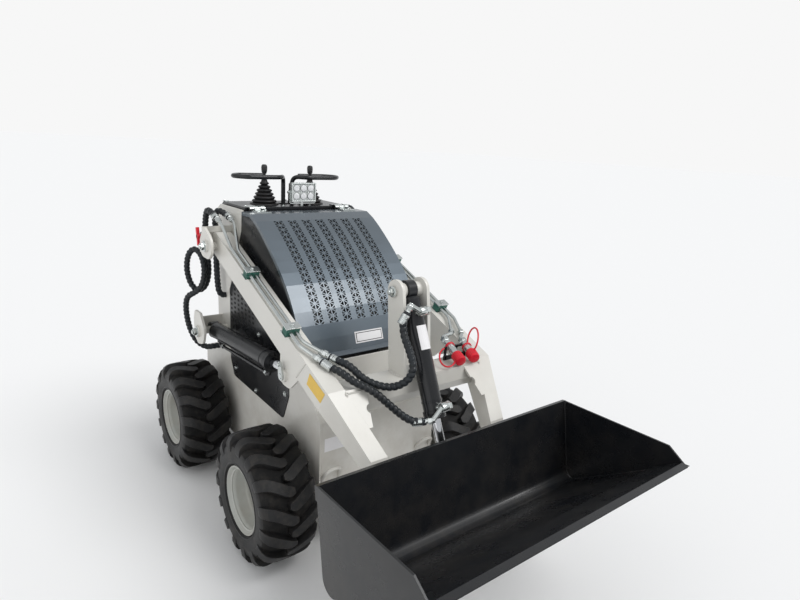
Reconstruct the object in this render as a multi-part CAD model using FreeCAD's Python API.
import FreeCAD, Part
import math
import os

# Compact stand-behind wheel loader. Millimetres, X forward, Y to its left, Z up.
# While it is modelled, X starts at the front axle; at the end the whole machine is
# moved so that X is 0 at the middle of its length. Z is 0 on the ground.

V = FreeCAD.Vector

# Chassis
BODY_HALF = 250.0
PLATE = 8.0
BELLY_Z = 150.0
NOSE_X = 133.0
NOSE_Z = 508.0
NOSE_STEP_X = 62.0
NOSE_STEP_Z = 592.0
NOSE_TOP_Z = 690.0
TAIL_X = -905.0
DECK_Z = 470.0
BACK_WALL_X = -752.0
BACK_WALL_TOP = 1112.0
TOP_Z = 1140.0
PANEL_TOP = 1150.0

# Running gear
WHEELBASE = 730.0
TYRE_RADIUS = 228.5
TYRE_WIDTH = 200.0
TYRE_GAP = 36.0
TREAD_BASE = 208.0
LUGS = 15
TRACK_HALF = BODY_HALF + TYRE_GAP + TYRE_WIDTH / 2
RIM_SEAT_RADIUS = 102.0
RIM_FLANGE_RADIUS = 118.0
RIM_WIDTH = 180.0
RIM_DISH = 12.0
AXLE_RADIUS = 25.0
HUB_RADIUS = 58.0
HUB_REACH = 40.0

# Fits
RUNNING = 0.05
SEAT = 0.3
PIN_SIDE_GAP = 1.5

# Rear tie-down eyes
TIE_REACH = 46.0
TIE_Y = 180.0
TIE_Z = 380.0
TIE_OUTER = 26.0
TIE_BORE = 14.0
TIE_THICK = 12.0

# Front tie-down loops, bent bar
LOOP_Y = 205.0
LOOP_FOOT_Z = 296.0
LOOP_TOP_Z = 343.0
LOOP_REACH = 26.0
LOOP_HALF = 35.0
LOOP_BAR = 6.0

# Lift arms
PIVOT = (-546.0, 998.0)
ARM_SLOPE = math.radians(22.1)
ARM_ABOVE = 51.0
ARM_DEPTH = 88.0
ARM_END = 46.0
ARM_RUN = 903.0
ARM_GAP = 25.0
ARM_WIDTH = 60.0
ARM_OUTER = BODY_HALF + ARM_GAP + ARM_WIDTH
KNEE_SEAM = math.radians(35.2)
WRIST = (459.0, 538.0)
WRIST_SEAM = 62.0
WRIST_INSET = 60.0
WRIST_PIN = (460.0, 335.0)
WRIST_END = 38.0
EAR_GAP = 27.0
EAR_PLATE = 10.0
EAR_OUTER = ARM_OUTER + EAR_GAP + EAR_PLATE
PIN_RADIUS = 15.0
BOSS_RADIUS = 24.0

# Lift cylinders
LIFT_FOOT = (-661.0, 621.0)
LIFT_HEAD = (40.0, 668.0)
LIFT_BARREL_RADIUS = 32.5
LIFT_BARREL_LENGTH = 560.0
LIFT_ROD_RADIUS = 17.5
LIFT_ROD_START = 118.0
LIFT_EYE_RADIUS = 28.0
CYLINDER_EYE_WIDTH = 34.0
GLAND = 26.0
LUG_GAP = 40.0

# Mast and tilt cylinder
MAST_PIN = (240.0, 968.0)
MAST_EAR_GAP = 86.0
MAST_EAR = 12.0
TILT_PIN = (462.0, 492.0)
TILT_BARREL_RADIUS = 32.0
TILT_BARREL_LENGTH = 418.0
TILT_ROD_RADIUS = 16.0
TILT_ROD_START = 78.0
TILT_PORT_TOP = 80.0
TILT_PORT_LOW = 386.0
CROSS_TOP = 697.0
CROSS_BOTTOM = 616.0
CROSS_REAR = 227.0
CROSS_FRONT = 322.0
GUSSET = 8.0
GUSSET_REACH = 70.0

# Bucket, as it sits rolled back
BUCKET_HALF = 500.0
BUCKET_TOP = (537.0, 582.0)
BUCKET_HEEL = (590.0, 283.0)
BUCKET_TIP = (990.0, 544.0)
BUCKET_CORNER = (925.0, 588.0)
BUCKET_SHEET = 6.0
HEEL_RADIUS = 40.0
EDGE_WIDTH = 110.0
EDGE_THICK = 12.0
HITCH_OFFSET = 30.0
HITCH_THICK = 10.0
HITCH_HALF = 420.0

# Hood
HOOD_HINGE = (-480.0, 1146.0)
HOOD_SHEET = 3.0
HOOD_START_X = -466.0
HOOD_BREAK = (-386.0, 1138.0)
HOOD_FACET = 51.0
HOOD_SLOPES = (24, 32, 35, 37, 39, 41, 45, 50, 56, 61, 66, 70)
HOOD_HALF = 261.0
HOOD_SIDE_LIP = 14.0
HOOD_UNDER = 9.0
HOLE_BANDS = 7
HOLE_BAND_PITCH = 58.0
HOLE_BAND_HALF = 20.0
HOLE_PITCH = 28.0
HOLE_BAR = 5.0
HOLE_START = 52.0
HOLE_ROWS = 16

# Controls
LEVER_X = -600.0
LEVER_Y = 105.0
BOOT_RADIUS = 50.0
BOOT_TOP_RADIUS = 15.0
BOOT_HEIGHT = 95.0
BOOT_FOLDS = 6
GUARD_TOP = 1262.0
GUARD_BAR = 9.0
GUARD_REACH = 55.0
GUARD_INNER = 20.0
GUARD_OUTER = 245.0

# Hydraulic lines: each pair of pipes rests in clamps on top of an arm
PIPE_RADIUS = 6.0
PIPE_RISE = ARM_ABOVE + 14.0
PIPE_OUTER_Y = 328.0
PIPE_INNER_Y = 309.0
PIPE_START = 40.0
# Columns: distance from the middle along the arm, run of the bend, run and distance of the front end
OUTER_PIPE = (PIPE_OUTER_Y, 698.0, 784.0, 294.0)
INNER_PIPE = (PIPE_INNER_Y, 682.0, 770.0, 258.0)
CLAMP_RUNS = (292.0, 619.0)
HOSE_RADIUS = 10.0
HOSE_SLEEVE = 28.0
COIL_CENTRE = (-745.0, -345.0, 862.0)
COIL_HALF_WIDTH = 52.0
COIL_HALF_HEIGHT = 95.0
COIL_TURN = math.radians(34)
COIL_SPREAD = 36.0
COUPLER_RADIUS = 14.0
CAP_RADIUS = 19.0


def outline(corners, place):
    """Closed wire through (u, v) or (u, v, radius) corners; a radius makes a tangent arc."""
    count = len(corners)
    joints = []
    for index, corner in enumerate(corners):
        here = V(corner[0], corner[1], 0)
        radius = corner[2] if len(corner) > 2 else 0
        if radius == 0:
            joints.append((here, None, here))
            continue
        before = corners[index - 1]
        after = corners[(index + 1) % count]
        back = (V(before[0], before[1], 0) - here).normalize()
        ahead = (V(after[0], after[1], 0) - here).normalize()
        half = back.getAngle(ahead) / 2
        reach = radius / math.tan(half)
        middle = (back + ahead).normalize()
        centre = here + middle * (radius / math.sin(half))
        joints.append((here + back * reach, centre - middle * radius, here + ahead * reach))
    edges = []
    for index, (start, middle, end) in enumerate(joints):
        if middle is not None:
            edges.append(Part.Arc(place(start), place(middle), place(end)).toShape())
        following = joints[(index + 1) % count][0]
        if (following - end).Length > 1e-6:
            edges.append(Part.LineSegment(place(end), place(following)).toShape())
    return Part.Wire(edges)


def plate_xz(corners, y0, y1):
    """Flat piece with its outline in the XZ plane, from y0 to y1."""
    wire = outline(corners, lambda p: V(p.x, y0, p.y))
    return Part.Face(wire).extrude(V(0, y1 - y0, 0))


def plate_yz(corners, x0, x1):
    """Flat piece with its outline in the YZ plane, from x0 to x1."""
    wire = outline(corners, lambda p: V(x0, p.x, p.y))
    return Part.Face(wire).extrude(V(x1 - x0, 0, 0))


def block(x0, x1, y0, y1, z0, z1):
    return Part.makeBox(x1 - x0, y1 - y0, z1 - z0, V(x0, y0, z0))


def rod_y(centre, radius, y0, y1):
    """Round bar along Y at centre (x, z)."""
    return Part.makeCylinder(radius, y1 - y0, V(centre[0], y0, centre[1]), V(0, 1, 0))


def bar(start, end, radius):
    return Part.makeCylinder(radius, (end - start).Length, start, end - start)


def fused(shapes):
    whole = shapes[0]
    if len(shapes) > 1:
        whole = whole.multiFuse(shapes[1:])
    return whole.removeSplitter()


def mirrored(shape):
    return shape.mirror(V(0, 0, 0), V(0, 1, 0))


def group(shapes):
    return Part.makeCompound(shapes)


def both_sides(shape):
    return group([shape, mirrored(shape)])


def tube(points, radius):
    """Round tube along straight runs joined by the largest even arcs that the runs allow."""
    places = [V(*p) for p in points]
    edges = []
    last = places[0]
    for index in range(1, len(places) - 1):
        here = places[index]
        back = places[index - 1] - here
        ahead = places[index + 1] - here
        turn = math.pi - back.getAngle(ahead)
        bend = 0.45 * min(back.Length, ahead.Length) / math.tan(turn / 2)
        reach = bend * math.tan(turn / 2)
        back.normalize()
        ahead.normalize()
        middle = (back + ahead).normalize()
        centre = here + middle * (bend / math.cos(turn / 2))
        first = here + back * reach
        second = here + ahead * reach
        edges.append(Part.LineSegment(last, first).toShape())
        edges.append(Part.Arc(first, centre - middle * bend, second).toShape())
        last = second
    edges.append(Part.LineSegment(last, places[-1]).toShape())
    path = Part.Wire(edges)
    ring = Part.Wire([Part.makeCircle(radius, places[0], places[1] - places[0])])
    return path.makePipeShell([ring], True, False)


def along(start, end, distance, side=0.0):
    """Point (x, z) at a distance from start towards end, and to the left of that line."""
    dx = end[0] - start[0]
    dz = end[1] - start[1]
    length = math.hypot(dx, dz)
    return (start[0] + (dx * distance - dz * side) / length,
            start[1] + (dz * distance + dx * side) / length)


def between(start, end):
    return math.hypot(end[0] - start[0], end[1] - start[1])


def sheet(corners, depth):
    """Flat sheet through four or more (x, y, z) corners, its depth along the vector."""
    places = [V(*corner) for corner in corners]
    return Part.Face(Part.makePolygon(places + places[:1])).extrude(depth)


def inward(start, end, thick):
    """Vector square to the line from start to end (x, z), to its right."""
    x, z = along(start, end, 0, -thick)
    return V(x - start[0], 0, z - start[1])


# Chassis weldment

def side_plate():
    under = hood_line(30)
    body = plate_xz([
        (NOSE_X, BELLY_Z), (NOSE_X, NOSE_Z), (NOSE_STEP_X, NOSE_STEP_Z), (NOSE_STEP_X, NOSE_TOP_Z),
        (0, NOSE_TOP_Z), under[8], under[4], under[0], (-492, 1100), (-492, TOP_Z), (-706, TOP_Z),
        (BACK_WALL_X, BACK_WALL_TOP),
        (BACK_WALL_X, 520, 60), (TAIL_X, DECK_Z, 40), (TAIL_X, 200), (TAIL_X + 50, BELLY_Z),
    ], -BODY_HALF, -BODY_HALF + PLATE)
    window = plate_xz([
        (-590, 560, 30), (-400, 560, 30), (-400, 760, 30), (-590, 760, 30),
    ], -BODY_HALF - 1, -BODY_HALF + PLATE + 1)
    return body.cut(window)


def nose():
    inner = BODY_HALF - PLATE
    skin = [(NOSE_X, BELLY_Z + PLATE), (NOSE_X, NOSE_Z), (NOSE_STEP_X, NOSE_STEP_Z),
            (NOSE_STEP_X, NOSE_TOP_Z)]
    back = [(x - PLATE, z - (PLATE / 2 if z >= NOSE_Z else 0)) for x, z in reversed(skin)]
    back[0] = (NOSE_STEP_X - PLATE, NOSE_TOP_Z)
    return plate_xz(skin + back, -inner, inner)


def rear_frame():
    inner = BODY_HALF - PLATE
    tail = block(TAIL_X, TAIL_X + PLATE, -inner, inner, 200, DECK_Z - PLATE)
    deck = block(TAIL_X, BACK_WALL_X + PLATE, -inner, inner, DECK_Z - PLATE, DECK_Z)
    wall = block(BACK_WALL_X, BACK_WALL_X + PLATE, -inner, inner, DECK_Z - PLATE, BACK_WALL_TOP)
    pieces = [tail, deck, wall]
    x = TAIL_X - TIE_REACH
    for side in (-1, 1):
        y = side * TIE_Y
        eye = rod_y((x, TIE_Z), TIE_OUTER, y - TIE_THICK / 2, y + TIE_THICK / 2)
        arm_plate = block(x, TAIL_X, y - TIE_THICK / 2, y + TIE_THICK / 2, TIE_Z - TIE_OUTER, TIE_Z + TIE_OUTER)
        hole = rod_y((x, TIE_Z), TIE_BORE, y - TIE_THICK, y + TIE_THICK)
        pieces.append(fused([eye, arm_plate]).cut(hole))
    return fused(pieces)


def belly():
    inner = BODY_HALF - PLATE
    return block(TAIL_X + 50, NOSE_X, -inner, inner, BELLY_Z, BELLY_Z + PLATE)


def tie_loop():
    """Loop of round bar that leans out from the nose."""
    inside = NOSE_X - LOOP_BAR
    tip = NOSE_X + LOOP_REACH
    bent = tube([
        (inside, LOOP_Y - LOOP_HALF, LOOP_FOOT_Z - 10), (tip, LOOP_Y - LOOP_HALF + 8, LOOP_TOP_Z),
        (tip, LOOP_Y + LOOP_HALF - 8, LOOP_TOP_Z), (inside, LOOP_Y + LOOP_HALF, LOOP_FOOT_Z - 10),
    ], LOOP_BAR)
    behind = block(NOSE_X - 60, NOSE_X, LOOP_Y - 80, LOOP_Y + 80, LOOP_FOOT_Z - 60, LOOP_TOP_Z + 60)
    return bent.cut(behind)


def tower():
    """Right tower: outer ear at the arm pivot, ear at the cylinder foot, webs and pins."""
    back = -612
    ear = plate_xz([
        (back + 22, 1068), (-562, 1068), (-490, 1030, 45), (-498, 948, 44), (back, 952, 40),
        (back, 1014), (back + 22, 1049),
    ], -EAR_OUTER, -EAR_OUTER + EAR_PLATE)
    web = plate_xz([
        (back + 30, 1068), (back + 30, 1046), (back + 9, 1012), (back + 8, 965), (back, 965),
        (back, 1014), (back + 22, 1049), (back + 22, 1068),
    ], -EAR_OUTER, -BODY_HALF)
    foot = plate_xz([
        (-712, 668), (-700, 704, 10), (-640, 704, 14), (-590, 640, 40), (-612, 578, 34),
        (-668, 566, 20), (-712, 590),
    ], -EAR_OUTER, -EAR_OUTER + EAR_PLATE)
    foot_web = block(-712, -704, -EAR_OUTER, -BODY_HALF, 592, 668)
    upper = pinned(PIVOT, fused([ear, web]))
    lower = pinned(LIFT_FOOT, fused([foot, foot_web]))
    return group([upper, lower])


def pinned(centre, bracket):
    """Bracket with a pin that reaches the chassis side plate, and a head outside."""
    pin = rod_y(centre, PIN_RADIUS, -EAR_OUTER, -BODY_HALF)
    head = rod_y(centre, BOSS_RADIUS, -EAR_OUTER - 8, -EAR_OUTER)
    return fused([bracket, pin, head])


def side_panel():
    """Black sheet over the side plate, its top edge bent like the hood and just under it."""
    top = HOOD_BREAK[1] - HOOD_UNDER
    return plate_xz([
        (-615, 500), (-580, 430, 20), (-130, 420, 20), (-88, 520, 20), (-88, 600), (-30, NOSE_TOP_Z + 25),
        *reversed(hood_line(HOOD_UNDER)[:-1]), (-486, top, 10), (-490, 1060), (-560, 900), (-615, 800),
    ], -BODY_HALF - HOOD_SHEET, -BODY_HALF)


def hub_motor(x):
    mouth = BODY_HALF + HUB_REACH
    foot = rod_y((x, TYRE_RADIUS), HUB_RADIUS, -mouth, -BODY_HALF)
    shaft = rod_y((x, TYRE_RADIUS), AXLE_RADIUS, -TRACK_HALF + RIM_DISH + 2, -mouth)
    return fused([foot, shaft])


def control_panel():
    inner = BODY_HALF - PLATE - 7
    return plate_xz([
        (BACK_WALL_X, BACK_WALL_TOP), (-494, BACK_WALL_TOP), (-494, PANEL_TOP), (-712, PANEL_TOP),
        (BACK_WALL_X, BACK_WALL_TOP + 10),
    ], -inner, inner)


def boot(y):
    profile = [V(0, 0, 0), V(BOOT_RADIUS, 0, 0)]
    for fold in range(BOOT_FOLDS):
        share = (fold + 0.5) / BOOT_FOLDS
        radius = BOOT_RADIUS + (BOOT_TOP_RADIUS - BOOT_RADIUS) * share
        profile.append(V(radius + 2, 0, BOOT_HEIGHT * share))
        profile.append(V(radius - 6, 0, BOOT_HEIGHT * (fold + 1) / BOOT_FOLDS))
    profile.append(V(0, 0, BOOT_HEIGHT))
    edges = Part.makePolygon(profile + [profile[0]])
    solid = Part.Face(edges).revolve(V(0, 0, 0), V(0, 0, 1), 360)
    solid.translate(V(LEVER_X, y, PANEL_TOP))
    return solid


def lever(y):
    foot = PANEL_TOP + BOOT_HEIGHT
    stem = Part.makeCylinder(6, 45, V(LEVER_X, y, foot))
    knob = Part.makeCylinder(12, 34, V(LEVER_X, y, foot + 30))
    return fused([stem, knob])


def hand_guard():
    """Bent bar round a lever, from the panel's top forward, outward and back."""
    points = [(LEVER_X, -GUARD_INNER, PANEL_TOP), (LEVER_X, -GUARD_INNER, GUARD_TOP),
              (LEVER_X + GUARD_REACH, -GUARD_INNER - 40, GUARD_TOP),
              (LEVER_X + GUARD_REACH, -GUARD_OUTER + 45, GUARD_TOP),
              (LEVER_X, -GUARD_OUTER, GUARD_TOP),
              (LEVER_X - GUARD_REACH, -GUARD_OUTER + 45, GUARD_TOP),
              (LEVER_X - GUARD_REACH, -GUARD_INNER - 60, GUARD_TOP)]
    return tube(points, GUARD_BAR)


def work_lamp():
    case = block(-535, -492, -35, 75, 1168, 1245)
    stem = block(-520, -505, 5, 35, PANEL_TOP, 1168)
    return fused([case, stem])


HINGE_Y = 192.0
HINGE_HALF = 32.0
KNUCKLE_RADIUS = 8.0
HINGE_PIN = 4.0
HINGE_INNER = 14.0


def hood_hinge():
    """Fixed half: leaf on the panel, pin, and a knuckle at each end."""
    x, z = HOOD_HINGE
    leaf = block(x - 44, x - KNUCKLE_RADIUS - 2, -HINGE_Y - HINGE_HALF, -HINGE_Y + HINGE_HALF,
                 PANEL_TOP, PANEL_TOP + 4)
    pieces = [leaf, rod_y(HOOD_HINGE, HINGE_PIN, -HINGE_Y - HINGE_HALF, -HINGE_Y + HINGE_HALF)]
    for side in (-1, 1):
        inner = -HINGE_Y + side * HINGE_INNER
        outer = -HINGE_Y + side * HINGE_HALF
        low = min(inner, outer)
        high = max(inner, outer)
        pieces.append(rod_y(HOOD_HINGE, KNUCKLE_RADIUS, low, high))
        pieces.append(block(x - 14, x, low, high, PANEL_TOP, PANEL_TOP + 6))
    return fused(pieces)


def hood_bends():
    """Bends of the hood from its flange down, each with the slope that starts there."""
    x, z = HOOD_BREAK
    bends = []
    for slope in HOOD_SLOPES:
        angle = math.radians(slope)
        bends.append((x, z, angle))
        x += HOOD_FACET * math.cos(angle)
        z -= HOOD_FACET * math.sin(angle)
    bends.append((x, z, angle))
    return bends


def hood_line(depth):
    """Hood's section below the flange as (x, z) points, at a depth under its outer face."""
    line = []
    before = 0.0
    for x, z, angle in hood_bends():
        middle = (before + angle) / 2
        line.append((x - depth * math.sin(middle), z - depth * math.cos(middle)))
        before = angle
    return line


def hood_place(run, y, lift):
    """Point at a run down the hood's sheet, lifted off its outer face, and the way out of it."""
    facet = min(int(run // HOOD_FACET), len(HOOD_SLOPES) - 1)
    x, z, angle = hood_bends()[facet]
    rest = run - facet * HOOD_FACET
    out = V(math.sin(angle), 0, math.cos(angle))
    foot = V(x + rest * math.cos(angle), y, z - rest * math.sin(angle))
    return foot + out * lift, out


def hole_prisms():
    """Triangular holes in bands down the slope, each one turned against its neighbours."""
    half = HOLE_BAND_HALF
    reach = HOLE_PITCH / 2 - HOLE_BAR / 2
    holes = []
    for band in range(HOLE_BANDS):
        middle = (band - (HOLE_BANDS - 1) / 2) * HOLE_BAND_PITCH
        for row in range(HOLE_ROWS):
            run = HOLE_START + row * HOLE_PITCH
            for face, shift in ((1, 0), (-1, HOLE_PITCH / 2)):
                places = [hood_place(run + shift + step, middle + side * half, HOOD_SHEET)[0]
                          for step, side in ((-reach, -face), (reach, -face), (0, face))]
                out = hood_place(run + shift, middle, 0)[1]
                outline_wire = Part.makePolygon(places + places[:1])
                holes.append(Part.Face(outline_wire).extrude(out * -HOOD_SHEET * 4))
    return holes


def hood():
    """Sheet bent in many facets with side lips, perforated down its slope, and its hinge leaves."""
    top = HOOD_BREAK[1]
    outer = [(HOOD_START_X, top), *hood_line(0)]
    inner = [(HOOD_START_X, top - HOOD_SHEET), *hood_line(HOOD_SHEET)]
    edge = [(HOOD_START_X, top - HOOD_SIDE_LIP), *hood_line(HOOD_SIDE_LIP)]
    skin = plate_xz(outer + inner[::-1], -HOOD_HALF, HOOD_HALF)
    pieces = [skin.cut(group(hole_prisms()))]
    for y in (-HOOD_HALF, HOOD_HALF - HOOD_SHEET):
        pieces.append(plate_xz(outer + edge[::-1], y, y + HOOD_SHEET))
    x, z = HOOD_HINGE
    for y in (-HINGE_Y, HINGE_Y):
        low = y - HINGE_INNER + PIN_SIDE_GAP
        high = y + HINGE_INNER - PIN_SIDE_GAP
        knuckle = rod_y(HOOD_HINGE, KNUCKLE_RADIUS, low, high)
        leaf = block(x, x + 60, low, high, top, top + 4)
        pieces.append(fused([knuckle, leaf]).cut(rod_y(HOOD_HINGE, HINGE_PIN + RUNNING, low - 1, high + 1)))
    return fused(pieces)


def engine():
    return block(-560, -110, -190, 190, BELLY_Z + PLATE + SEAT, 600)


def battery_switch():
    """T handle on a small plate behind the right tower's web."""
    outer = -EAR_OUTER + 26
    centre = V(-636, outer, 1022)
    plate = block(-654, -612, outer, outer + 6, 998, 1046)
    stem = bar(centre, centre + V(0, -20, 0), 8)
    handle = block(-645, -627, outer - 30, outer - 18, 986, 1058)
    return fused([plate, stem, handle])


def foot_platform():
    return fused([
        block(TAIL_X - 230, TAIL_X, -230, 230, 200, 206),
        block(TAIL_X - 8, TAIL_X, -230, 230, 206, 260),
    ])


# Wheels

def lathe(section, count):
    """Solid of flat facets round the wheel's axis, from a closed (offset, radius) section."""
    faces = []
    step = 2 * math.pi / count
    for index in range(count):
        angles = (index * step, (index + 1) * step)
        for here, there in zip(section, section[1:] + section[:1]):
            corners = []
            for (y, r), angle in ((here, angles[0]), (there, angles[0]), (there, angles[1]),
                                  (here, angles[1])):
                if r > 0 or not corners or (V(0, y, 0) - corners[-1]).Length > 1e-6:
                    corners.append(V(r * math.sin(angle), y, r * math.cos(angle)))
            if (corners[0] - corners[-1]).Length < 1e-6:
                corners.pop()
            if len(corners) > 2:
                faces.append(Part.Face(Part.makePolygon(corners + corners[:1])))
    return Part.makeSolid(Part.makeShell(faces))


def tyre(x, side):
    """Carcass of flat facets with staggered lugs that hook over the shoulders."""
    half = TYRE_WIDTH / 2
    count = LUGS * 2
    spread = 1 / math.cos(math.pi / count)
    inner = [
        (RIM_WIDTH / 2 - 12 - SEAT, (RIM_SEAT_RADIUS + SEAT) * spread),
        (RIM_WIDTH / 2 - 6 - SEAT, (RIM_FLANGE_RADIUS + SEAT) * spread),
        (RIM_WIDTH / 2 + 1, (RIM_FLANGE_RADIUS + SEAT + 3) * spread),
        (half - 2, 165), (half - 16, TREAD_BASE - 3),
    ]
    section = inner + [(-y, r) for y, r in reversed(inner)]
    solid = lathe(section, count)
    envelope = [(half, 0), (half, 190), (half - 12, 222), (half - 30, TYRE_RADIUS)]
    envelope = lathe(envelope + [(-y, r) for y, r in reversed(envelope)], count)
    lugs = []
    for face in (-1, 1):
        chevron = [(-14, half), (20, 16), (6, -16), (34, -16), (48, 16), (14, half)]
        wire = Part.makePolygon([V(s, y * face, 188) for s, y in chevron + chevron[:1]])
        lug = Part.Face(wire).extrude(V(0, 0, 50)).common(envelope)
        for index in range(LUGS):
            turned = lug.copy()
            angle = 360.0 / LUGS * (index + (0.5 if face > 0 else 0))
            turned.rotate(V(0, 0, 0), V(0, 1, 0), angle)
            lugs.append(turned)
    solid = fused([solid] + lugs)
    if side < 0:
        solid = mirrored(solid)
    solid.translate(V(x, side * TRACK_HALF, TYRE_RADIUS))
    return solid


def wheel_piece(section, x, side):
    """Revolve a closed section of (offset from the wheel's middle, radius) corners."""
    wire = Part.makePolygon([V(0, y, r) for y, r in section + section[:1]])
    solid = Part.Face(wire).revolve(V(0, 0, 0), V(0, 1, 0), 360)
    solid.translate(V(x, side * TRACK_HALF, TYRE_RADIUS))
    return solid


def rim(x, side):
    """One-piece rim: flanges, bead seats, deep dish and hub boss on the axle."""
    half = RIM_WIDTH / 2
    bore = AXLE_RADIUS + RUNNING
    section = [
        (half, RIM_FLANGE_RADIUS), (half - 6, RIM_FLANGE_RADIUS), (half - 12, RIM_SEAT_RADIUS),
        (-half + 12, RIM_SEAT_RADIUS), (-half + 6, RIM_FLANGE_RADIUS), (-half, RIM_FLANGE_RADIUS),
        (-half, RIM_FLANGE_RADIUS - 6), (-half + 16, 94), (-36, 90), (-36, 46), (-70, 42),
        (-70, bore), (-RIM_DISH, bore), (-RIM_DISH, 90), (half - 16, 94),
        (half, RIM_FLANGE_RADIUS - 6),
    ]
    section = [(side * y, r) for y, r in section]
    return wheel_piece(section, x, side)


# Lift arms

def arm_point(run, rise):
    """Point (x, z) in the upper arm's own axes, from the pivot."""
    return (PIVOT[0] + run * math.cos(ARM_SLOPE) + rise * math.sin(ARM_SLOPE),
            PIVOT[1] - run * math.sin(ARM_SLOPE) + rise * math.cos(ARM_SLOPE))


def seam_below(top, length):
    return (top[0] - length * math.sin(KNEE_SEAM), top[1] - length * math.cos(KNEE_SEAM))


def arm():
    """Right arm: upper box, lower box that closes in towards the bucket, and the wrist."""
    outer = -ARM_OUTER
    inner = -ARM_OUTER + ARM_WIDTH
    knee = arm_point(ARM_RUN, ARM_ABOVE)
    knee_low = seam_below(knee, ARM_DEPTH / math.cos(KNEE_SEAM - ARM_SLOPE))
    upper = plate_xz([
        knee, knee_low, (*arm_point(-ARM_END, ARM_ABOVE - ARM_DEPTH), 42),
        (*arm_point(-ARM_END, ARM_ABOVE), 42),
    ], outer, inner)
    wrist_low = seam_below(WRIST, WRIST_SEAM)
    loops = []
    for top, low, shift in ((knee, knee_low, 0), (WRIST, wrist_low, WRIST_INSET)):
        loops.append(Part.makePolygon([
            V(top[0], outer + shift, top[1]), V(top[0], inner + shift, top[1]),
            V(low[0], inner + shift, low[1]), V(low[0], outer + shift, low[1]),
            V(top[0], outer + shift, top[1]),
        ]))
    lower = Part.makeLoft(loops, True, True)
    px, pz = WRIST_PIN
    wrist = plate_xz([
        WRIST, wrist_low, (px - WRIST_END, pz - WRIST_END, WRIST_END - 1),
        (px + WRIST_END, pz - WRIST_END, WRIST_END - 1), (px + WRIST_END, pz + 70, 30),
    ], outer + WRIST_INSET, inner + WRIST_INSET)
    x, z = LIFT_HEAD
    lug = [(x - 30, z + 100), (x - 34, z - 36, 33), (x + 36, z - 36, 33), (x + 130, z + 50),
           (x + 130, z + 90)]
    middle = (outer + inner) / 2
    lugs = []
    for face in (-1, 1):
        near = middle + face * LUG_GAP / 2
        far = middle + face * ARM_WIDTH / 2
        lugs.append(plate_xz(lug, min(near, far), max(near, far)))
        end = far + face * 10
        lugs.append(rod_y(LIFT_HEAD, BOSS_RADIUS - 2, min(far, end), max(far, end)))
    solid = fused([upper, lower, wrist] + lugs)
    pocket = rod_y(LIFT_HEAD, 66, middle - LUG_GAP / 2, middle + LUG_GAP / 2)
    solid = solid.cut(pocket)
    solid = solid.cut(rod_y(PIVOT, PIN_RADIUS + RUNNING, outer - 1, inner + 1))
    return solid.cut(rod_y(WRIST_PIN, PIN_RADIUS + RUNNING, outer + WRIST_INSET - 1,
                           inner + WRIST_INSET + 1))


def cross_member():
    """Box beam between the arms, its rear slanted to come down in front of the nose."""
    inner = ARM_OUTER - ARM_WIDTH
    beam = plate_xz([
        (CROSS_REAR, CROSS_TOP), (CROSS_FRONT, CROSS_TOP), (CROSS_FRONT, CROSS_TOP - 50),
        (CROSS_FRONT - 16, CROSS_BOTTOM), (CROSS_REAR + 38, CROSS_BOTTOM),
    ], -inner, inner)
    knee = arm_point(ARM_RUN, ARM_ABOVE)
    depth = inward(knee, WRIST, GUSSET)
    notch = V(depth).normalize()
    gussets = []
    for side in (-1, 1):
        x0, z0 = along(knee, WRIST, 4)
        x1, z1 = along(knee, WRIST, 22)
        x2, z2 = along(knee, WRIST, 130)
        reach = inner - GUSSET_REACH
        plate = sheet([(x0, side * inner, z0), (x0, side * reach, z0), (x1, side * reach, z1),
                       (x2, side * (reach + 22), z2), (x2, side * inner, z2)], depth)
        x2, z2 = along(knee, WRIST, 74)
        centre = V(x2, side * (reach + 6), z2) - notch * 20
        gussets.append(plate.cut(Part.makeCylinder(15, 60, centre, notch)))
    right = arm()
    return fused([beam] + gussets).cut(right).cut(mirrored(right))


def mast():
    half = MAST_EAR_GAP / 2
    x, z = MAST_PIN
    ear = plate_xz([
        (CROSS_REAR + 5, CROSS_TOP), (x - 38, z + 38, 37), (x + 38, z + 38, 37),
        (x + 56, z - 80, 80), (CROSS_FRONT - 5, CROSS_TOP),
    ], -half - MAST_EAR, -half)
    boss = rod_y(MAST_PIN, BOSS_RADIUS, -half, -CYLINDER_EYE_WIDTH / 2 - PIN_SIDE_GAP)
    pin = rod_y(MAST_PIN, PIN_RADIUS, -half - MAST_EAR - 6, half + MAST_EAR + 6)
    return fused([ear, mirrored(ear), boss, mirrored(boss), pin])


def cylinder_barrel(foot, head, radius, length, rod_radius, y):
    """Closed tube with an eye at its foot and a bore that the rod runs in."""
    width = CYLINDER_EYE_WIDTH
    start = along(foot, head, 24)
    end = along(foot, head, length)
    axis = V(end[0] - start[0], 0, end[1] - start[1])
    tube_start = V(start[0], y, start[1])
    body = Part.makeCylinder(radius, axis.Length, tube_start, axis)
    gland_start = along(foot, head, length - GLAND)
    gland = Part.makeCylinder(radius + 4, GLAND, V(gland_start[0], y, gland_start[1]), axis)
    eye = rod_y(foot, radius, y - width / 2, y + width / 2)
    bore_start = along(foot, head, 45)
    bore = Part.makeCylinder(rod_radius + RUNNING, length, V(bore_start[0], y, bore_start[1]), axis)
    hole = rod_y(foot, PIN_RADIUS + RUNNING, y - radius - 1, y + radius + 1)
    keep = rod_y(foot, radius + 8, y - radius - 1, y + radius + 1)
    side = width / 2
    slot = keep.cut(block(foot[0] - 60, foot[0] + 60, y - side, y + side, foot[1] - 60, foot[1] + 60))
    return fused([body.cut(slot), gland, eye]).cut(bore).cut(hole)


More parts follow.
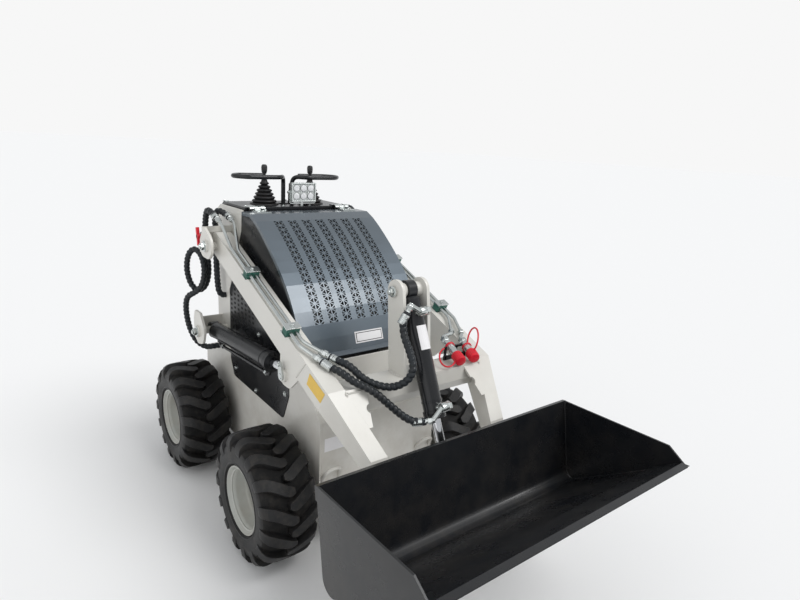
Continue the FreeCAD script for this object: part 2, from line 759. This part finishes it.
def tilt_ports():
    """Port blocks on the tilt barrel's front, with a short elbow on each."""
    ports = []
    for distance, face in ((TILT_PORT_TOP, -1), (TILT_PORT_LOW, 1)):
        skin = TILT_BARREL_RADIUS + (4 if distance > TILT_BARREL_LENGTH - 40 else 0)
        low = along(MAST_PIN, TILT_PIN, distance - 12, 0)
        high = along(MAST_PIN, TILT_PIN, distance + 12, 0)
        out_low = along(MAST_PIN, TILT_PIN, distance - 12, skin + 14)
        out_high = along(MAST_PIN, TILT_PIN, distance + 12, skin + 14)
        body = plate_xz([low, high, out_high, out_low], -13, 13)
        x, z = along(MAST_PIN, TILT_PIN, distance, skin + 6)
        elbow = bar(V(x, 0, z), V(x, -40, z), 8)
        ports.append(fused([body, elbow]))
    gland_start = along(MAST_PIN, TILT_PIN, TILT_BARREL_LENGTH - GLAND)
    lower_end = V(TILT_PIN[0], 0, TILT_PIN[1])
    barrel = bar(V(MAST_PIN[0], 0, MAST_PIN[1]), lower_end, TILT_BARREL_RADIUS)
    gland = bar(V(gland_start[0], 0, gland_start[1]), lower_end, TILT_BARREL_RADIUS + 4)
    return group([port.cut(barrel).cut(gland) for port in ports])


def cylinder_rod(foot, head, start, rod_radius, eye_radius, y):
    """Rod with an open eye; the pin that the eye turns on stops at the lugs."""
    width = CYLINDER_EYE_WIDTH
    begin = along(foot, head, start)
    finish = along(foot, head, between(foot, head) - eye_radius * 0.6)
    shaft = bar(V(begin[0], y, begin[1]), V(finish[0], y, finish[1]), rod_radius)
    eye = rod_y(head, eye_radius, y - width / 2, y + width / 2)
    return fused([shaft, eye]).cut(rod_y(head, PIN_RADIUS + 1, y - width, y + width))


# Bucket and hitch

def bucket_shell():
    top = BUCKET_TOP
    heel = BUCKET_HEEL
    tip = BUCKET_TIP
    line = [top, (*heel, HEEL_RADIUS), tip]
    in_top = along(top, heel, 0, BUCKET_SHEET)
    in_tip = along(heel, tip, between(heel, tip), BUCKET_SHEET)
    in_heel = line_cross(in_top, along(top, heel, 100, BUCKET_SHEET),
                         along(heel, tip, 0, BUCKET_SHEET), in_tip)
    skin = plate_xz(line + [in_tip, (*in_heel, HEEL_RADIUS - BUCKET_SHEET), in_top],
                    -BUCKET_HALF, BUCKET_HALF)
    length = between(heel, top)
    bead = plate_xz([along(heel, top, length - 42, 0), top, along(heel, top, length, 8),
                     along(heel, top, length - 42, 8)], -BUCKET_HALF, BUCKET_HALF)
    cheek = plate_xz([top, BUCKET_CORNER, tip, (*heel, HEEL_RADIUS)],
                     -BUCKET_HALF, -BUCKET_HALF + BUCKET_SHEET)
    return fused([skin, bead, cheek, mirrored(cheek)])


def line_cross(a, b, c, d):
    """Where the lines a-b and c-d meet."""
    det = (a[0] - b[0]) * (c[1] - d[1]) - (a[1] - b[1]) * (c[0] - d[0])
    ab = a[0] * b[1] - a[1] * b[0]
    cd = c[0] * d[1] - c[1] * d[0]
    return ((ab * (c[0] - d[0]) - (a[0] - b[0]) * cd) / det,
            (ab * (c[1] - d[1]) - (a[1] - b[1]) * cd) / det)


def cutting_edge():
    """Bar on the floor's inside that runs a little past its front."""
    length = between(BUCKET_HEEL, BUCKET_TIP)
    inside = BUCKET_HALF - BUCKET_SHEET
    rear = along(BUCKET_HEEL, BUCKET_TIP, length - EDGE_WIDTH, BUCKET_SHEET)
    rear_top = along(BUCKET_HEEL, BUCKET_TIP, length - EDGE_WIDTH, BUCKET_SHEET + EDGE_THICK)
    front = along(BUCKET_HEEL, BUCKET_TIP, length + 12, BUCKET_SHEET)
    front_top = along(BUCKET_HEEL, BUCKET_TIP, length - 8, BUCKET_SHEET + EDGE_THICK)
    return plate_xz([rear, front, front_top, rear_top], -inside, inside)


def hitch():
    """Plate behind the bucket with ears for both arms and for the tilt rod."""
    back = lambda up, off: along(BUCKET_HEEL, BUCKET_TOP, up, off)
    board = plate_xz([back(20, HITCH_OFFSET), back(265, HITCH_OFFSET),
                      back(265, HITCH_OFFSET + HITCH_THICK), back(20, HITCH_OFFSET + HITCH_THICK)],
                     -HITCH_HALF, HITCH_HALF)
    rails = []
    for low in (30, 240):
        rails.append(plate_xz([back(low, 0), back(low + 14, 0), back(low + 14, HITCH_OFFSET),
                               back(low, HITCH_OFFSET)], -HITCH_HALF, HITCH_HALF))
    x, z = WRIST_PIN
    ear = [back(30, HITCH_OFFSET), back(150, HITCH_OFFSET), (x - 34, z + 50, 20),
           (x - 34, z - 34, 33), (x + 34, z - 34, 30)]
    pieces = [board] + rails
    arm_outer = ARM_OUTER - WRIST_INSET
    arm_inner = arm_outer - ARM_WIDTH
    for low, high in ((arm_inner - PIN_SIDE_GAP - 12, arm_inner - PIN_SIDE_GAP),
                      (arm_outer + PIN_SIDE_GAP, arm_outer + PIN_SIDE_GAP + 12)):
        plate = plate_xz(ear, low, high)
        pieces += [plate, mirrored(plate)]
    pin = rod_y(WRIST_PIN, PIN_RADIUS, arm_inner - 20, arm_outer + 20)
    pieces += [pin, mirrored(pin)]
    x, z = TILT_PIN
    lever_ear = [back(190, HITCH_OFFSET), back(262, HITCH_OFFSET), (x + 20, z + 32), (x - 30, z + 30, 29),
                 (x - 30, z - 30, 29)]
    for face in (-1, 1):
        near = face * LUG_GAP / 2
        far = face * (LUG_GAP / 2 + 12)
        end = face * (LUG_GAP / 2 + 24)
        pieces.append(plate_xz(lever_ear, min(near, far), max(near, far)))
        pieces.append(rod_y(TILT_PIN, BOSS_RADIUS - 2, min(far, end), max(far, end)))
    return fused(pieces)


# Hydraulic lines

def pipe_route(row):
    """Points of a pipe on top of the right arm: a long straight run, then in towards its hose."""
    y, bend, front, end = row
    points = []
    for run, side in ((PIPE_START, y), (bend, y), (front, end)):
        x, z = arm_point(run, PIPE_RISE)
        points.append((x, -side, z))
    return points


def hose_start(row):
    """First two points of a hose, seated on its pipe's front end and straight on from it."""
    bend, end = [V(*point) for point in pipe_route(row)[-2:]]
    ahead = (end - bend).normalize()
    return [tuple(end + ahead * SEAT), tuple(end + ahead * HOSE_SLEEVE)]


def pipes():
    return [tube(pipe_route(row), PIPE_RADIUS) for row in (OUTER_PIPE, INNER_PIPE)]


def clamps():
    """Two-pipe clamps on the right arm's top."""
    middle = -(PIPE_OUTER_Y + PIPE_INNER_Y) / 2
    made = []
    for run in CLAMP_RUNS:
        body = plate_xz([arm_point(run - 9, ARM_ABOVE), arm_point(run + 9, ARM_ABOVE),
                         arm_point(run + 9, PIPE_RISE + 11), arm_point(run - 9, PIPE_RISE + 11)],
                        middle - 22, middle + 22)
        for y in (PIPE_OUTER_Y, PIPE_INNER_Y):
            x0, z0 = arm_point(run - 20, PIPE_RISE)
            x1, z1 = arm_point(run + 20, PIPE_RISE)
            body = body.cut(bar(V(x0, -y, z0), V(x1, -y, z1), PIPE_RADIUS + RUNNING))
        made.append(body)
    return made


def hose_coil():
    """A turn and a quarter of an upright oval coil, from its front side down, back, up and round."""
    x, y, z = COIL_CENTRE
    steps = 10
    points = []
    for step in range(steps + 1):
        angle = math.pi + step * math.pi / 4
        across = COIL_HALF_WIDTH * math.cos(angle)
        off = COIL_SPREAD * (step / steps - 0.5)
        points.append((x - across * math.cos(COIL_TURN) + off * math.sin(COIL_TURN),
                       y - across * math.sin(COIL_TURN) - off * math.cos(COIL_TURN),
                       z + COIL_HALF_HEIGHT * math.sin(angle)))
    return points


def tower_hoses():
    """Two hoses that arch over the right tower's web; the outer one hangs in a coil behind it."""
    end = -BODY_HALF - SEAT
    outer = [(-574, -328, 1104), (-606, -328, 1128), (-652, -328, 1122), (-692, -322, 1050),
             (-708, -312, 950), *hose_coil(), (-772, -378, 745), (-790, -380, 690), (-790, -370, 610),
             (-768, -350, 545), (-738, -318, 518), (-706, -290, 528), (-706, end, 528)]
    inner = [(-574, -302, 1100), (-600, -301, 1118), (-640, -296, 1112), (-664, -290, 1050),
             (-672, -286, 950), (-670, -284, 820), (-668, -276, 762), (-668, end, 762)]
    return [tube(outer, HOSE_RADIUS), tube(inner, HOSE_RADIUS)]


def tilt_hose_upper():
    return tube([*hose_start(INNER_PIPE), (258, -228, 758), (306, -200, 716), (355, -140, 696),
                 (391, -100, 725), (393, -80, 768), (356, -75, 812), (322, -73, 850),
                 (312, -71, 894), (314, -56, 920)], HOSE_RADIUS)


def tilt_hose_lower():
    return tube([*hose_start(OUTER_PIPE), (264, -258, 742), (304, -242, 722), (350, -200, 702),
                 (374, -150, 650), (398, -108, 608), (420, -80, 596), (441, -60, 604)], HOSE_RADIUS)


COUPLERS = (((214, 204, 757), (300, 184, 730)), ((236, 270, 750), (304, 248, 730)))


def quick_couplers():
    """Two couplers on a bracket that stands on the cross member, left of the mast."""
    bodies = []
    bracket = block(248, 256, 170, 272, CROSS_TOP, 744)
    for start, end in COUPLERS:
        body = bar(V(*start), V(*end), COUPLER_RADIUS)
        sleeve = bar(V(*start), V(*end), COUPLER_RADIUS + SEAT)
        bracket = bracket.cut(sleeve)
        bodies.append(body)
    return bodies + [bracket]


def coupler_caps():
    caps = []
    for start, end in COUPLERS:
        ahead = (V(*end) - V(*start)).normalize()
        caps.append(bar(V(*end), V(*end) + ahead * 38, CAP_RADIUS))
    return caps


def build():
    """Every node by name, X from the front axle."""
    nodes = {}
    plate = side_plate()
    nodes["chassis_side_right"] = plate
    nodes["chassis_side_left"] = mirrored(plate)
    nodes["nose_plate"] = nose()
    nodes["belly_pan"] = belly()
    nodes["rear_frame"] = rear_frame()
    nodes["tower_right"] = tower()
    nodes["tower_left"] = mirrored(tower())
    nodes["tie_loops"] = both_sides(tie_loop())
    nodes["side_panel_right"] = side_panel()
    nodes["side_panel_left"] = mirrored(side_panel())
    nodes["engine"] = engine()
    nodes["control_panel"] = control_panel()
    nodes["lever_boots"] = group([boot(-LEVER_Y), boot(LEVER_Y)])
    nodes["control_levers"] = group([lever(-LEVER_Y), lever(LEVER_Y)])
    nodes["hand_guards"] = both_sides(hand_guard())
    nodes["work_lamp"] = work_lamp()
    nodes["hood_hinges"] = both_sides(hood_hinge())
    nodes["battery_switch"] = battery_switch()
    nodes["foot_platform"] = foot_platform()
    nodes["tower_hose_right"] = group(tower_hoses())
    nodes["tower_hose_left"] = mirrored(group(tower_hoses()))
    nodes["hub_motors"] = group([shape for x in (0.0, -WHEELBASE)
                                 for shape in (hub_motor(x), mirrored(hub_motor(x)))])
    for end, x in (("front", 0.0), ("rear", -WHEELBASE)):
        for name, side in (("right", -1), ("left", 1)):
            nodes["tyre_%s_%s" % (end, name)] = tyre(x, side)
            nodes["rim_%s_%s" % (end, name)] = rim(x, side)
    nodes["hood"] = hood()
    nodes["arm_right"] = arm()
    nodes["arm_left"] = mirrored(arm())
    nodes["cross_member"] = cross_member()
    nodes["mast"] = mast()
    nodes["hydraulic_lines"] = group(pipes() + [mirrored(pipe) for pipe in pipes()])
    nodes["line_clamps"] = group(clamps() + [mirrored(clamp) for clamp in clamps()])
    nodes["tilt_hose_upper"] = tilt_hose_upper()
    nodes["tilt_hose_lower"] = tilt_hose_lower()
    nodes["quick_couplers"] = group(quick_couplers())
    nodes["coupler_caps"] = group(coupler_caps())
    middle = -ARM_OUTER + ARM_WIDTH / 2
    barrel = cylinder_barrel(LIFT_FOOT, LIFT_HEAD, LIFT_BARREL_RADIUS, LIFT_BARREL_LENGTH,
                             LIFT_ROD_RADIUS, middle)
    rod = cylinder_rod(LIFT_FOOT, LIFT_HEAD, LIFT_ROD_START, LIFT_ROD_RADIUS, LIFT_EYE_RADIUS, middle)
    nodes["lift_barrel_right"] = barrel
    nodes["lift_barrel_left"] = mirrored(barrel)
    nodes["lift_rod_right"] = rod
    nodes["lift_rod_left"] = mirrored(rod)
    nodes["tilt_barrel"] = cylinder_barrel(MAST_PIN, TILT_PIN, TILT_BARREL_RADIUS, TILT_BARREL_LENGTH,
                                           TILT_ROD_RADIUS, 0.0)
    nodes["tilt_ports"] = tilt_ports()
    nodes["tilt_rod"] = cylinder_rod(MAST_PIN, TILT_PIN, TILT_ROD_START, TILT_ROD_RADIUS,
                                     LIFT_EYE_RADIUS, 0.0)
    nodes["bucket_shell"] = bucket_shell()
    nodes["cutting_edge"] = cutting_edge()
    nodes["hitch_plate"] = hitch()
    return nodes


def centring(nodes):
    """Shift along X that puts the middle of the machine's length at 0."""
    boxes = [shape.BoundBox for shape in nodes.values()]
    return -(min(box.XMin for box in boxes) + max(box.XMax for box in boxes)) / 2


def main():
    nodes = build()
    shift = V(centring(nodes), 0, 0)
    os.makedirs("parts", exist_ok=True)
    for name, shape in nodes.items():
        shape.translate(shift)
        shape.exportStep("parts/%s.step" % name)
    print("shift", shift.x, "nodes", len(nodes))


if __name__ == "__main__":
    main()
